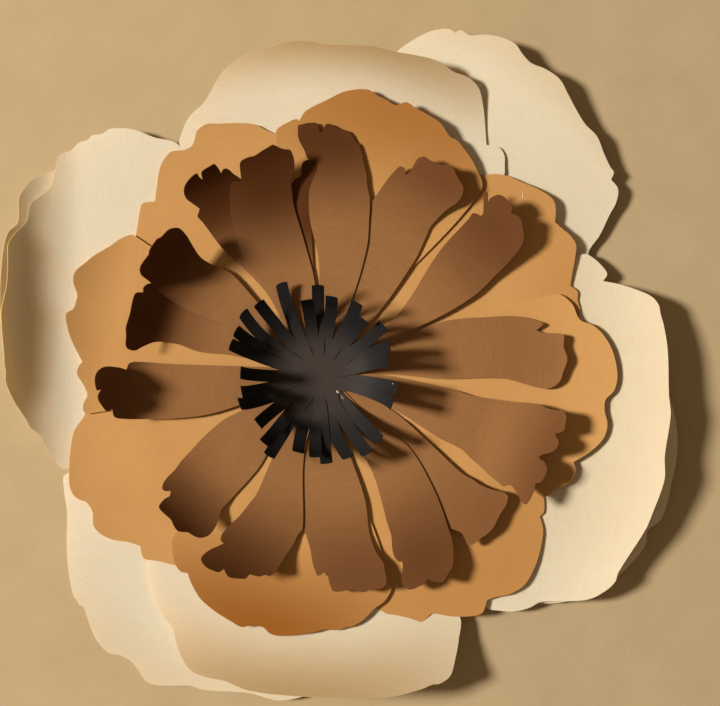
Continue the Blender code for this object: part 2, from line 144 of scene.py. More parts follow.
# The brown petals, numbered counter-clockwise from the top
INNER_PETALS = (
    Petal("inner_upper", 88, 150, 300, (
        (18, -9), (51, -22), (87, -31), (107, -32), (120, -32), (129, -30), (137, -29),
        (145, -27), (153, -25), (158, -23), (159, -21), (164, -18), (166, -16), (167, -13),
        (168, -9), (170, -5), (171, -1), (169, 1), (166, 2), (165, 4), (168, 5), (171, 6),
        (171, 12), (170, 16), (169, 19), (165, 19), (162, 19), (157, 17), (152, 14), (147, 12),
        (146, 8), (145, 5), (139, 5), (132, 8), (125, 10), (106, 9), (78, 2), (50, 1), (18, 3))),
    Petal("inner_lower", 58, 122, 85, (
        (19, -6), (59, -14), (101, -16), (119, -14), (126, -13), (133, -14), (138, -15),
        (144, -17), (148, -19), (152, -20), (156, -20), (159, -19), (162, -17), (164, -13),
        (167, -8), (169, -5), (169, -2), (168, 1), (166, 4), (166, 7), (165, 10), (165, 13),
        (165, 16), (163, 18), (161, 19), (157, 19), (152, 19), (148, 20), (149, 22), (151, 23),
        (151, 25), (150, 27), (146, 28), (142, 29), (130, 30), (117, 30), (85, 22), (54, 9),
        (19, 6))),
    Petal("inner_upper", 40, 125, 95, (
        (18, -8), (53, -15), (90, -25), (117, -29), (134, -28), (152, -26), (166, -22),
        (173, -13), (175, -8), (174, -5), (172, -2), (175, 0), (176, 5), (176, 9), (174, 13),
        (172, 14), (168, 15), (165, 14), (169, 19), (169, 21), (167, 21), (161, 14), (157, 10),
        (155, 10), (154, 13), (152, 15), (148, 14), (119, 10), (61, -6), (18, 4))),
    Petal("inner_lower", 3, 135, 110, (
        (19, -4), (49, -4), (84, -9), (127, -11), (153, -19), (160, -19), (166, -15), (169, -8),
        (172, 0), (170, 9), (170, 17), (157, 19), (152, 21), (157, 25), (154, 27), (142, 31),
        (121, 32), (86, 30), (50, 16), (19, 8))),
    Petal("inner_upper", 337, 115, 95, (
        (18, -4), (57, -3), (95, -9), (112, -10), (120, -13), (129, -16), (137, -19), (145, -21),
        (148, -22), (152, -19), (155, -20), (161, -24), (164, -26), (166, -27), (168, -26),
        (169, -21), (169, -15), (168, -11), (171, -9), (172, -6), (172, 0), (170, 3), (167, 5),
        (164, 5), (163, 7), (165, 9), (169, 12), (172, 16), (172, 20), (171, 22), (169, 23),
        (167, 25), (170, 27), (172, 30), (171, 34), (170, 38), (167, 41), (165, 41), (161, 40),
        (156, 39), (150, 39), (144, 38), (132, 34), (118, 30), (106, 27), (95, 26), (82, 24),
        (47, 17), (18, 8))),
    Petal("inner_lower", 317, 118, 180, (
        (19, -5), (54, -10), (85, -17), (121, -21), (140, -16), (145, -14), (149, -13),
        (154, -15), (157, -16), (159, -13), (160, -6), (161, -2), (161, 5), (159, 12), (158, 16),
        (157, 22), (154, 27), (150, 27), (143, 23), (135, 20), (129, 19), (120, 17), (89, 17),
        (56, 16), (19, 7))),
    Petal("inner_upper", 299, 115, 135, (
        (18, -3), (71, 0), (84, -1), (98, -4), (113, -8), (123, -10), (132, -14), (137, -15),
        (141, -14), (142, -12), (145, -13), (149, -16), (152, -18), (157, -19), (161, -16),
        (162, -10), (162, -5), (160, -2), (162, -1), (165, 2), (167, 6), (164, 12), (161, 17),
        (155, 21), (149, 24), (142, 26), (111, 31), (75, 30), (53, 19), (18, 9))),
    Petal("inner_lower", 280, 110, 105, (
        (19, -6), (55, -20), (80, -26), (104, -28), (111, -27), (120, -26), (129, -26),
        (135, -25), (138, -24), (138, -22), (136, -19), (138, -17), (141, -17), (148, -16),
        (150, -15), (151, -11), (151, -7), (151, -3), (152, 0), (154, 5), (154, 8), (153, 10),
        (154, 17), (152, 21), (149, 22), (144, 22), (137, 22), (133, 20), (128, 18), (123, 17),
        (114, 16), (92, 17), (60, 12), (19, 5))),
    Petal("inner_upper", 244, 105, 55, (
        (18, -3), (68, -2), (94, -1), (104, -3), (113, -5), (121, -8), (125, -9), (128, -10),
        (133, -9), (134, -6), (138, -9), (142, -12), (146, -14), (151, -15), (154, -13),
        (156, -9), (156, -4), (155, 0), (151, 2), (153, 4), (155, 7), (154, 11), (152, 15),
        (150, 18), (146, 19), (145, 23), (144, 26), (141, 29), (141, 31), (139, 33), (136, 34),
        (130, 35), (121, 36), (114, 37), (106, 37), (101, 38), (59, 18), (18, 8))),
    Petal("inner_lower", 227, 100, 50, (
        (19, -7), (57, -21), (68, -25), (85, -27), (102, -27), (109, -27), (116, -26), (124, -26),
        (129, -25), (132, -23), (132, -21), (129, -18), (132, -16), (136, -17), (140, -17),
        (144, -16), (145, -13), (145, -9), (145, -4), (147, 0), (148, 4), (146, 7), (143, 10),
        (142, 14), (140, 18), (136, 21), (132, 22), (125, 21), (118, 18), (114, 16), (109, 16),
        (97, 16), (88, 16), (74, 15), (54, 10), (19, 5))),
    Petal("inner_upper", 184, 112, 34, (
        (18, -4), (54, -8), (102, -13), (124, -16), (129, -15), (131, -11), (137, -13),
        (148, -14), (157, -11), (162, -6), (160, 1), (154, 1), (159, 6), (153, 13), (149, 16),
        (144, 15), (143, 20), (138, 22), (120, 24), (100, 25), (79, 24), (56, 19), (18, 7))),
    Petal("inner_lower", 164, 97, 42, (
        (19, -7), (59, -16), (90, -24), (116, -27), (129, -27), (133, -23), (132, -20),
        (138, -18), (139, -13), (138, -4), (138, 6), (136, 11), (133, 19), (126, 20), (121, 16),
        (114, 11), (107, 9), (97, 8), (83, 9), (59, 5), (19, 4))),
    Petal("inner_upper", 142, 96, 39, (
        (18, -5), (65, -13), (89, -17), (102, -14), (112, -13), (122, -16), (131, -19),
        (140, -20), (146, -18), (152, -14), (154, -8), (160, -5), (158, 2), (152, 6), (151, 15),
        (143, 20), (132, 21), (119, 23), (101, 22), (82, 17), (60, 10), (18, 6))),
    Petal("inner_lower", 119, 114, 50, (
        (19, -5), (76, -9), (105, -18), (131, -21), (144, -18), (148, -16), (152, -15),
        (155, -13), (155, -11), (153, -9), (159, -9), (163, -8), (163, -5), (163, -2), (162, 2),
        (156, 4), (159, 5), (163, 5), (163, 8), (162, 11), (159, 16), (155, 19), (152, 20),
        (148, 20), (143, 18), (138, 16), (136, 18), (134, 20), (129, 19), (107, 16), (88, 10),
        (62, 4), (19, 6))),
    Petal("inner_upper", 104, 108, 66, (
        (18, -4), (60, -13), (90, -13), (116, -12), (123, -13), (130, -14), (135, -16),
        (138, -18), (145, -20), (150, -20), (154, -19), (155, -16), (157, -13), (160, -10),
        (161, -9), (160, -6), (158, 0), (156, 5), (156, 9), (155, 14), (153, 16), (149, 17),
        (143, 18), (140, 19), (141, 24), (139, 26), (132, 29), (123, 31), (117, 32), (91, 31),
        (80, 28), (63, 18), (18, 8))),
    Petal("inner_lower", 92, 125, 300, (
        (19, -3), (62, 0), (110, 1), (125, 1), (139, -5), (146, -8), (147, 0), (145, 5), (141, 6),
        (136, 6), (134, 10), (129, 14), (121, 19), (104, 21), (85, 17), (62, 10), (19, 4))),
)

# The strips of the two fringed discs: heading in degrees, how far out the tip reaches in
# millimetres once the strip is rolled up, and how many degrees it swings aside on its way
FRINGE_STRIPS = {
    "lower": (
        (22, 53, 2), (51, 50, 0), (77, 55, 2), (97, 52, 0), (129, 64, -1), (156, 63, -6),
        (180, 50, -4), (205, 54, -6), (233, 56, -1), (253, 51, 4), (267, 53, 3), (285, 58, 7),
        (314, 60, 1), (354, 55, -2)),
    "upper": (
        (13, 49, 1), (34, 57, 4), (59, 57, 2), (89, 62, 0), (116, 69, -5), (148, 67, -9),
        (162, 62, -3), (194, 50, -3), (217, 49, 2), (239, 62, 0), (276, 58, 1), (301, 62, 3),
        (345, 54, -4)),
}

# Petals with painted shade that deepens towards the rim: where it starts and ends, in
# millimetres from the middle of the flower, and how deep it gets
Shade = namedtuple("Shade", "start end depth")
NO_SHADE = Shade(100, 200, 0.0)
PAINTED_RIM_SHADES = {
    "outer_petal_upper_top": Shade(190, 232, 1.0),
    "outer_petal_upper_bottom": Shade(165, 222, 0.90),
    "outer_petal_upper_right": Shade(120, 200, 0.28),
    "outer_petal_lower_bottom": Shade(200, 244, 0.22),
    "outer_petal_lower_top_right": Shade(235, 262, 0.35),
    "middle_petal_upper_top": Shade(110, 190, 0.75),
    "middle_petal_upper_bottom": Shade(105, 180, 1.0),
    "middle_petal_lower_bottom": Shade(120, 190, 0.40),
    "middle_petal_lower_top_right": Shade(130, 190, 0.20),
    "inner_petal_01": Shade(95, 160, 1.0),
    "inner_petal_02": Shade(105, 162, 0.75),
    "inner_petal_03": Shade(90, 160, 0.85),
    "inner_petal_04": Shade(110, 160, 0.25),
    "inner_petal_05": Shade(122, 172, 0.80),
    "inner_petal_06": Shade(100, 155, 0.50),
    "inner_petal_07": Shade(80, 150, 0.85),
    "inner_petal_08": Shade(80, 145, 0.70),
    "inner_petal_09": Shade(70, 145, 0.85),
    "inner_petal_10": Shade(80, 140, 0.65),
    "inner_petal_11": Shade(90, 150, 0.70),
    "inner_petal_12": Shade(60, 125, 0.90),
    "inner_petal_13": Shade(70, 132, 0.95),
    "inner_petal_14": Shade(75, 132, 1.0),
    "inner_petal_15": Shade(60, 128, 1.0),
    "inner_petal_16": Shade(50, 105, 1.0),
}
# The painted shade is deepest along a petal's heading and fades out this far to either side of it
SHADE_SPREAD = math.radians(38)

# Petals that are rolled less towards their right side: how much later, in metres, the roll
# starts at this distance from the petal's heading
RIGHT_EASE = {"outer_petal_upper_top": 0.012}
EASE_REACH = 0.110

# Slight waves in the wide petals: their height in metres at the flower's reach, how many turns
# go round the flower, and how far the next petal's waves are shifted
RIPPLE_HEIGHT = {"outer": 0.0006, "middle": 0.0004, "inner": 0.0}
RIPPLE_TURNS = 7.0
RIPPLE_VARIETY = 3
RIPPLE_SHIFT = 1.9
FLOWER_REACH = 0.25

# A petal's flat sheet: the spacing of its points and of its cut edge in metres, how near a
# filling point may come to the edge as a share of the spacing, and when two points are one
SHEET_SPACING = {"outer": 0.0040, "middle": 0.0034, "inner": 0.0025}
EDGE_STEP = 0.0014
EDGE_CLEARANCE = 0.55
SAME_POINT = 1e-7
# The cut edge stays sharp at notches that turn by more than this, and the card at its creases
SHARP_NOTCH = math.radians(48)
SHARP_CREASE = math.radians(40)
# The hidden sides of a wide petal: its spread at the flower's middle, and the shares of its
# length where it has a waist and where it is fully spread
ROOT_SPREAD = 0.72
WAIST = 0.25
FULL_SPREAD = 0.5

# A fringed disc, in metres: how far its strips and its uncut middle reach while it is flat, a
# strip's width, how soon past the middle it has that width, and where its painted shade
# begins and ends
FRINGE_LENGTH = 0.070
FRINGE_UNCUT = 0.0155
FRINGE_WIDTH = 0.0084
FRINGE_FLARE = 0.007
FRINGE_SHADE_START = 0.012
FRINGE_SHADE_END = 0.045
FRINGE_MIDDLE_Y = -0.003
# How much shorter a strip is at the corners of its tip, and how blunt the tip is between them
TIP_ROUNDING = 0.0010
TIP_BLUNTNESS = 4.0
# Points along a strip and across it
FRINGE_SEGMENTS = 22
FRINGE_ROWS = 5
# A strip's roll is found by halving a range of angles in radians so many times
LEAST_ROLL, MOST_ROLL = 0.05, 2.8
ROLL_HALVINGS = 40

# Where set glue shows: place in millimetres, heading, length, width and height
GLUE_MARKS = (
    ((13.8, -13.7), -25, 3.2, 1.9, 0.8),
    ((17.2, -17.6), -50, 3.6, 0.5, 0.35),
    ((51.6, -7.4), 60, 1.0, 0.7, 0.4),
    ((142.0, 122.5), 84, 6.0, 0.5, 0.3),
)
# Rings and sides of a drop of glue, how deep it goes below the surface as a share of its
# height, and the height in metres that it is dropped from
GLUE_RINGS = 6
GLUE_SIDES = 16
GLUE_SINK = 0.4
GLUE_DROP = 0.2

# Dyed card: the size of its flecks in metres, the length of its embossed threads in pitches,
# how strongly threads cross them, the fineness of its fibres, the depth of the relief, how far
# its roughness swings, and how light spreads inside it, in metres and by colour
FLECK_SIZE = 0.0012
THREAD_PITCHES = 16
CROSS_SHARE = 0.5
FIBRE_FINENESS = 2600.0
FIBRE_SHARE = 0.5
CARD_RELIEF = 0.0002
CARD_SWING = 0.16
GLOW_REACH = 0.0014
GLOW_COLOUR = (1.0, 0.66, 0.32)
# Plain grain: its patches and its relief in grains, its contrast and how its roughness swings
GRAIN_PATCH = 12
GRAIN_RELIEF = 0.3
GRAIN_CONTRAST = 1.4
GRAIN_SWING = 0.12

# Floor, light and camera, in metres and watts
FLOOR_SIZE = 14.0
KEY_HEADING = math.radians(172)
KEY_ELEVATION = math.radians(36.5)
KEY_DISTANCE = 6.0
KEY_SIZE = 1.1
KEY_POWER = 480.0
KEY_COLOUR = (1.0, 0.90, 0.78)
FILL_COLOUR = (1.0, 0.71, 0.43, 1.0)
FILL_STRENGTH = 0.17
CAMERA_PLACE = (0.0294, 0.0133, 0.80)
CAMERA_LENS = 57.14

FLOAT, WHOLE, VECTOR = "NodeSocketFloat", "NodeSocketInt", "NodeSocketVector"
GEOMETRY, MATERIAL = "NodeSocketGeometry", "NodeSocketMaterial"
# The colour sockets of a Mix node, which share their names with its other sockets
MIX_FACTOR, MIX_FIRST, MIX_SECOND, MIX_RESULT = 0, 6, 7, 2


# Nodes

def join_up(tree, socket, value):
    """Give a socket its value, or link it to another node's output."""
    if hasattr(value, "is_output"):
        tree.links.new(value, socket)
    else:
        socket.default_value = value


def add_node(tree, kind, settings=(), **inputs):
    """A node with its settings, and its inputs by name with underscores for spaces."""
    node = tree.nodes.new(kind)
    for key, value in dict(settings).items():
        setattr(node, key, value)
    for key, value in inputs.items():
        join_up(tree, node.inputs[key.replace("_", " ")], value)
    return node


def calc(tree, operation, *values):
    """One step of arithmetic."""
    node = tree.nodes.new("ShaderNodeMath")
    node.operation = operation
    for socket, value in zip(node.inputs, values):
        join_up(tree, socket, value)
    return node.outputs[0]


def mixed(tree, factor, first, second):
    """A colour between two others."""
    mix = add_node(tree, "ShaderNodeMix", {"data_type": "RGBA"})
    join_up(tree, mix.inputs[MIX_FACTOR], factor)
    join_up(tree, mix.inputs[MIX_FIRST], first)
    join_up(tree, mix.inputs[MIX_SECOND], second)
    return mix.outputs[MIX_RESULT]


def new_tree(name, kind, inputs, outputs):
    """An empty node tree with named inputs and outputs, and its two end nodes' sockets."""
    tree = bpy.data.node_groups.new(name, kind)
    for label, socket_type, value in inputs:
        socket = tree.interface.new_socket(label, in_out="INPUT", socket_type=socket_type)
        if value is not None:
            socket.default_value = value
    for label, socket_type in outputs:
        tree.interface.new_socket(label, in_out="OUTPUT", socket_type=socket_type)
    given = tree.nodes.new("NodeGroupInput").outputs
    out = tree.nodes.new("NodeGroupOutput").inputs
    return tree, given, out


# Trees that shape the card

def rolled(tree, distance, start, radius):
    """Card rolled up round a cylinder from a start: how far out a point gets and its rise."""
    past = calc(tree, "MAXIMUM", calc(tree, "SUBTRACT", distance, start), 0.0)
    angle = calc(tree, "DIVIDE", past, radius)
    out = calc(tree, "ADD", calc(tree, "MINIMUM", distance, start),
               calc(tree, "MULTIPLY", radius, calc(tree, "SINE", angle)))
    lost = calc(tree, "SUBTRACT", 1.0, calc(tree, "COSINE", angle))
    rise = calc(tree, "MULTIPLY", radius, lost)
    return out, rise


def turned(tree, heading, along, side, height):
    """A point so far along a heading and so far to its left, at a height."""
    cosine = calc(tree, "COSINE", heading)
    sine = calc(tree, "SINE", heading)
    x = calc(tree, "SUBTRACT", calc(tree, "MULTIPLY", along, cosine), calc(tree, "MULTIPLY", side, sine))
    y = calc(tree, "ADD", calc(tree, "MULTIPLY", along, sine), calc(tree, "MULTIPLY", side, cosine))
    return add_node(tree, "ShaderNodeCombineXYZ", X=x, Y=y, Z=height).outputs[0]


def faded(tree, distance, start, end):
    """A share that goes smoothly from 0 at a start to 1 at an end."""
    return add_node(tree, "ShaderNodeMapRange", {"interpolation_type": "SMOOTHSTEP"},
                    Value=distance, From_Min=start, From_Max=end).outputs[0]


def end_tree(tree, geometry, card, out):
    """The last nodes of a tree that makes card."""
    real = add_node(tree, "GeometryNodeRealizeInstances", Geometry=geometry)
    dressed = add_node(tree, "GeometryNodeSetMaterial", Geometry=real.outputs[0], Material=card)
    tree.links.new(dressed.outputs[0], out["Geometry"])


def make_curled_card():
    """Lifts and rolls a flat cut sheet of card into its place in the flower."""
    tree, given, out = new_tree("curled_card", "GeometryNodeTree", [
        ("Geometry", GEOMETRY, None), ("Heading", FLOAT, 0.0), ("Roll start", FLOAT, 0.15),
        ("Right ease", FLOAT, 0.0), ("Roll radius", FLOAT, 0.1), ("Base height", FLOAT, 0.003),
        ("Climb", FLOAT, 0.02), ("Root radius", FLOAT, 0.02), ("Ripple height", FLOAT, 0.0),
        ("Ripple turns", FLOAT, 3.0), ("Ripple phase", FLOAT, 0.0), ("Card", MATERIAL, None)],
        [("Geometry", GEOMETRY)])
    place = tree.nodes.new("GeometryNodeInputPosition").outputs[0]
    parts = add_node(tree, "ShaderNodeSeparateXYZ", Vector=place).outputs
    length = add_node(tree, "ShaderNodeVectorMath", {"operation": "LENGTH"}, Vector=place)
    distance = length.outputs["Value"]

    to_right = calc(tree, "MINIMUM", calc(tree, "DIVIDE", parts["Y"], EASE_REACH), 0.0)
    later = calc(tree, "MULTIPLY", given["Right ease"], calc(tree, "MULTIPLY", to_right, to_right))
    start = calc(tree, "ADD", given["Roll start"], later)
    out_along, rise = rolled(tree, parts["X"], start, given["Roll radius"])

    past_root = calc(tree, "SUBTRACT", distance, given["Root radius"])
    climb = calc(tree, "MULTIPLY", given["Climb"], past_root)

    bearing = calc(tree, "ARCTAN2", parts["Y"], parts["X"])
    turns = calc(tree, "MULTIPLY", bearing, given["Ripple turns"])
    wave = calc(tree, "SINE", calc(tree, "ADD", turns, given["Ripple phase"]))
    outward = calc(tree, "POWER", calc(tree, "DIVIDE", distance, FLOWER_REACH), 2.0)
    ripple = calc(tree, "MULTIPLY", calc(tree, "MULTIPLY", wave, outward), given["Ripple height"])

    height = calc(tree, "ADD", calc(tree, "ADD", given["Base height"], climb),
                  calc(tree, "ADD", rise, ripple))
    moved = add_node(tree, "GeometryNodeSetPosition", Geometry=given["Geometry"],
                     Position=turned(tree, given["Heading"], out_along, parts["Y"], height))
    end_tree(tree, moved.outputs[0], given["Card"], out)
    return tree


def make_fringed_disc():
    """A strip of card for every given point, with its wedge of the uncut middle, rolled up."""
    tree, given, out = new_tree("fringed_disc", "GeometryNodeTree", [
        ("Geometry", GEOMETRY, None), ("Strip length", FLOAT, 0.05), ("Strip width", FLOAT, 0.008),
        ("Flare", FLOAT, 0.007), ("Uncut radius", FLOAT, 0.018), ("Base height", FLOAT, 0.008),
        ("Middle Y", FLOAT, 0.0), ("Shade start", FLOAT, 0.01), ("Shade end", FLOAT, 0.05),
        ("Segments", WHOLE, 20), ("Card", MATERIAL, None)],
        [("Geometry", GEOMETRY)])
    blank = add_node(tree, "GeometryNodeMeshGrid", Size_X=1.0, Size_Y=1.0, Vertices_Y=FRINGE_ROWS)
    tree.links.new(given["Segments"], blank.inputs["Vertices X"])
    strips = add_node(tree, "GeometryNodeInstanceOnPoints", Points=given["Geometry"],
                      Instance=blank.outputs[0])
    real = add_node(tree, "GeometryNodeRealizeInstances", Geometry=strips.outputs[0]).outputs[0]
    told = {
        name: add_node(tree, "GeometryNodeInputNamedAttribute", {"data_type": "FLOAT"}, Name=name).outputs[0]
        for name in ("heading", "roll_radius", "swing", "half_left", "half_right")
    }
    place = tree.nodes.new("GeometryNodeInputPosition").outputs[0]
    parts = add_node(tree, "ShaderNodeSeparateXYZ", Vector=place).outputs
    share = calc(tree, "ADD", parts["X"], 0.5)
    across = calc(tree, "MULTIPLY", parts["Y"], 2.0)

    # How far out a point of the strip is while it is flat, and once it is rolled up
    sidewards = calc(tree, "POWER", calc(tree, "ABSOLUTE", across), TIP_BLUNTNESS)
    corner = calc(tree, "MULTIPLY", sidewards, TIP_ROUNDING)
    end = calc(tree, "ADD", given["Uncut radius"], given["Strip length"])
    full = calc(tree, "SUBTRACT", end, calc(tree, "MULTIPLY", corner, share))
    distance = calc(tree, "MULTIPLY", share, full)
    out_along, rise = rolled(tree, distance, given["Uncut radius"], told["roll_radius"])

    # Half the strip's width there: a wedge in the uncut middle, which flares to full width
    to_left = calc(tree, "GREATER_THAN", across, 0.0)
    to_right = calc(tree, "SUBTRACT", 1.0, to_left)
    half_angle = calc(tree, "ADD", calc(tree, "MULTIPLY", to_left, told["half_left"]),
                      calc(tree, "MULTIPLY", to_right, told["half_right"]))
    slope = calc(tree, "TANGENT", half_angle)
    root_half = calc(tree, "MULTIPLY", slope, calc(tree, "MINIMUM", distance, given["Uncut radius"]))
    missing = calc(tree, "SUBTRACT", calc(tree, "MULTIPLY", given["Strip width"], 0.5), root_half)
    flare_end = calc(tree, "ADD", given["Uncut radius"], given["Flare"])
    flared = faded(tree, distance, given["Uncut radius"], flare_end)
    half = calc(tree, "ADD", root_half, calc(tree, "MULTIPLY", flared, missing))
    side = calc(tree, "MULTIPLY", across, half)

    swing = calc(tree, "MULTIPLY", told["swing"], calc(tree, "POWER", share, 2.0))
    heading = calc(tree, "ADD", told["heading"], swing)
    height = calc(tree, "ADD", given["Base height"], rise)
    # Painted shade: the strips darken outwards from a lighter, sheen-like middle
    tone = faded(tree, distance, given["Shade start"], given["Shade end"])
    shaded = add_node(tree, "GeometryNodeStoreNamedAttribute", {"data_type": "FLOAT", "domain": "POINT"},
                      Geometry=real, Name="painted_rim_shade", Value=tone).outputs[0]
    moved = add_node(tree, "GeometryNodeSetPosition", Geometry=shaded,
                     Position=turned(tree, heading, out_along, side, height))
    middle = add_node(tree, "ShaderNodeCombineXYZ", Y=given["Middle Y"])
    centred = add_node(tree, "GeometryNodeTransform", Geometry=moved.outputs[0],
                       Translation=middle.outputs[0])
    end_tree(tree, centred.outputs[0], given["Card"], out)
    return tree


# Cutting the card

def smooth_edge(points):
    """A closed run of cut-edge points drawn as a smooth line that keeps its notches sharp."""
    count = len(points)
    ends = (0, count - 1)
    sharp = []
    for i, here in enumerate(points):
        before = here - points[i - 1]
        after = points[(i + 1) % count] - here
        turn = math.atan2(before.x * after.y - before.y * after.x, before.dot(after))
        sharp.append(turn < -SHARP_NOTCH or i in ends)
    line = []
    for i, start in enumerate(points):
        end = points[(i + 1) % count]
        lead = 2 * start - end if sharp[i] else points[i - 1]
        trail = 2 * end - start if sharp[(i + 1) % count] else points[(i + 2) % count]
        gap = (end - start).length
        steps = max(1, round(gap / EDGE_STEP))
        lead_gap = max((start - lead).length, 1e-9)
        trail_gap = max((trail - end).length, 1e-9)
        slope_start = (end - lead) * gap / (gap + lead_gap)
        slope_end = (trail - start) * gap / (gap + trail_gap)
        for step in range(steps):
            t = step / steps
            line.append(
                start * (2 * t ** 3 - 3 * t ** 2 + 1) + slope_start * (t ** 3 - 2 * t ** 2 + t)
                + end * (3 * t ** 2 - 2 * t ** 3) + slope_end * (t ** 3 - t ** 2)
            )
    return line


def fan_sides(edge, root):
    """The hidden sides of a wide petal, from its root to the two ends of its rim."""
    ends = [math.atan2(point.y, point.x) for point in (edge[0], edge[-1])]
    middle = sum(ends) / 2
    sides = []
    for bearing, end in zip(ends, (edge[0], edge[-1])):
        side = []
        for radius in (root, WAIST * end.length, FULL_SPREAD * end.length):
            spread = min(1.0, ROOT_SPREAD + (1 - ROOT_SPREAD) * radius / (FULL_SPREAD * end.length))
            angle = middle + (bearing - middle) * spread
            side.append(Vector((radius * math.cos(angle), radius * math.sin(angle))))
        sides.append(side)
    return sides


def inside(points, outline):
    """Which points lie within an outline, by counting the edges to their right."""
    found = np.zeros(len(points), bool)
    for a, b in zip(outline, np.roll(outline, -1, axis=0)):
        crosses = (a[1] > points[:, 1]) != (b[1] > points[:, 1])
        if crosses.any():
            at = a[0] + (points[:, 1] - a[1]) * (b[0] - a[0]) / (b[1] - a[1] + 1e-18)
            found ^= crosses & (points[:, 0] < at)
    return found


def filled_evenly(line, spacing):
    """Points in staggered rows within an outline, none of them close to it."""
    low, high = line.min(0), line.max(0)
    rows = np.arange(low[1], high[1], spacing * math.sqrt(3) / 2)
    filling = np.array([
        (x, y) for n, y in enumerate(rows)
        for x in np.arange(low[0] + (n % 2) * spacing / 2, high[0], spacing)
    ])
    filling = filling[inside(filling, line)]
    nearest = np.array([np.min(np.sum((line - point) ** 2, axis=1)) for point in filling])
    return filling[nearest > (EDGE_CLEARANCE * spacing) ** 2]


def painted_shade_depth(points, shade):
    """How deep the painted shade is at every point of a flat sheet."""
    reach = np.array([point.length for point in points]) / MM
    share = np.clip((reach - shade.start) / (shade.end - shade.start), 0.0, 1.0)
    bearing = np.array([math.atan2(point.y, point.x) for point in points])
    centred = np.clip(1.0 - (bearing / SHADE_SPREAD) ** 2, 0.0, 1.0)
    return shade.depth * centred * share ** 2 * (3 - 2 * share)


def cut_sheet(name, outline, spacing, shade):
    """A flat sheet with this outline, evenly filled with points; its UV map is the flat card."""
    line = np.array([point[:] for point in outline])
    points = [Vector(point) for point in np.vstack([line, filled_evenly(line, spacing)])]
    points, _, faces, *_ = delaunay_2d_cdt(points, [], [list(range(len(line)))], 1, SAME_POINT)
    mesh = bpy.data.meshes.new(name)
    mesh.from_pydata([(p.x, p.y, 0.0) for p in points], [], faces)
    flat = mesh.uv_layers.new(name="flat_card")
    for loop in mesh.loops:
        flat.data[loop.index].uv = points[loop.vertex_index]
    # Painted shade, which the card's finish mixes into its colour
    tone = mesh.attributes.new("painted_rim_shade", "FLOAT", "POINT")
    tone.data.foreach_set("value", painted_shade_depth(points, shade))
    if sum(face.normal.z for face in mesh.polygons) < 0:
        mesh.flip_normals()
    return mesh


# Pieces

def give_inputs(modifier, tree, values):
    """Set a modifier's inputs by the identifiers of the tree's named sockets."""
    for item in tree.interface.items_tree:
        if item.in_out == "INPUT" and item.name in values:
            modifier[item.identifier] = values[item.name]


def made_of_card(name, mesh, tree, values, finish):
    """Run a tree on a mesh, give the result its thickness, and keep the plain mesh."""
    for material in finish:
        mesh.materials.append(material)
    blank = bpy.data.objects.new(name + "_blank", mesh)
    bpy.context.scene.collection.objects.link(blank)
    shaping = blank.modifiers.new("shaping", "NODES")
    shaping.node_group = tree
    give_inputs(shaping, tree, {**values, "Card": finish[0]})
    thickness = blank.modifiers.new("card thickness", "SOLIDIFY")
    thickness.thickness = CARD
    thickness.offset = 0.0
    thickness.material_offset_rim = 1
    graph = bpy.context.evaluated_depsgraph_get()
    shaped = bpy.data.meshes.new_from_object(
        blank.evaluated_get(graph), preserve_all_data_layers=True, depsgraph=graph)
    bpy.data.objects.remove(blank, do_unlink=True)
    shaped.name = name
    shaped.shade_smooth()
    shaped.set_sharp_from_angle(angle=SHARP_CREASE)
    piece = bpy.data.objects.new(name, shaped)
    bpy.context.scene.collection.objects.link(piece)
    return piece


def place_piece(piece, node):
    """A finished piece stands for its CAD node and goes with the flower."""
    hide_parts(node)
    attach(piece, "root")


def petal_piece(name, petal, kind, finish, number):
    """One petal: its edge drawn, its sheet cut and then lifted and rolled into place."""
    ring = RINGS[petal.ring]
    points = [Vector(point) * MM for point in petal.edge]
    if kind != "inner":
        right, left = fan_sides(points, ring.root)
        points = right + points + left[::-1]
    mesh = cut_sheet(name, smooth_edge(points), SHEET_SPACING[kind], PAINTED_RIM_SHADES.get(name, NO_SHADE))
    piece = made_of_card("card_" + name, mesh, CURLED_CARD, {
        "Heading": math.radians(petal.heading),
        "Roll start": petal.start * MM,
        "Right ease": RIGHT_EASE.get(name, 0.0),
        "Roll radius": petal.radius * MM,
        "Base height": FIRST_LAYER + ring.layer * LAYER_PITCH,
        "Climb": ring.climb,
        "Root radius": ring.root,
        "Ripple height": RIPPLE_HEIGHT[kind],
        "Ripple turns": RIPPLE_TURNS + number % RIPPLE_VARIETY,
        "Ripple phase": RIPPLE_SHIFT * number,
    }, finish)
    place_piece(piece, name)


def roll_radius(reach):
    """The radius that brings a strip's tip in to this distance from the flower's middle."""
    length = FRINGE_LENGTH - FRINGE_UNCUT
    wanted = (reach - FRINGE_UNCUT) / length
    low, high = LEAST_ROLL, MOST_ROLL
    for _ in range(ROLL_HALVINGS):
        angle = (low + high) / 2
        if math.sin(angle) / angle > wanted:
            low = angle
        else:
            high = angle
    return length / low


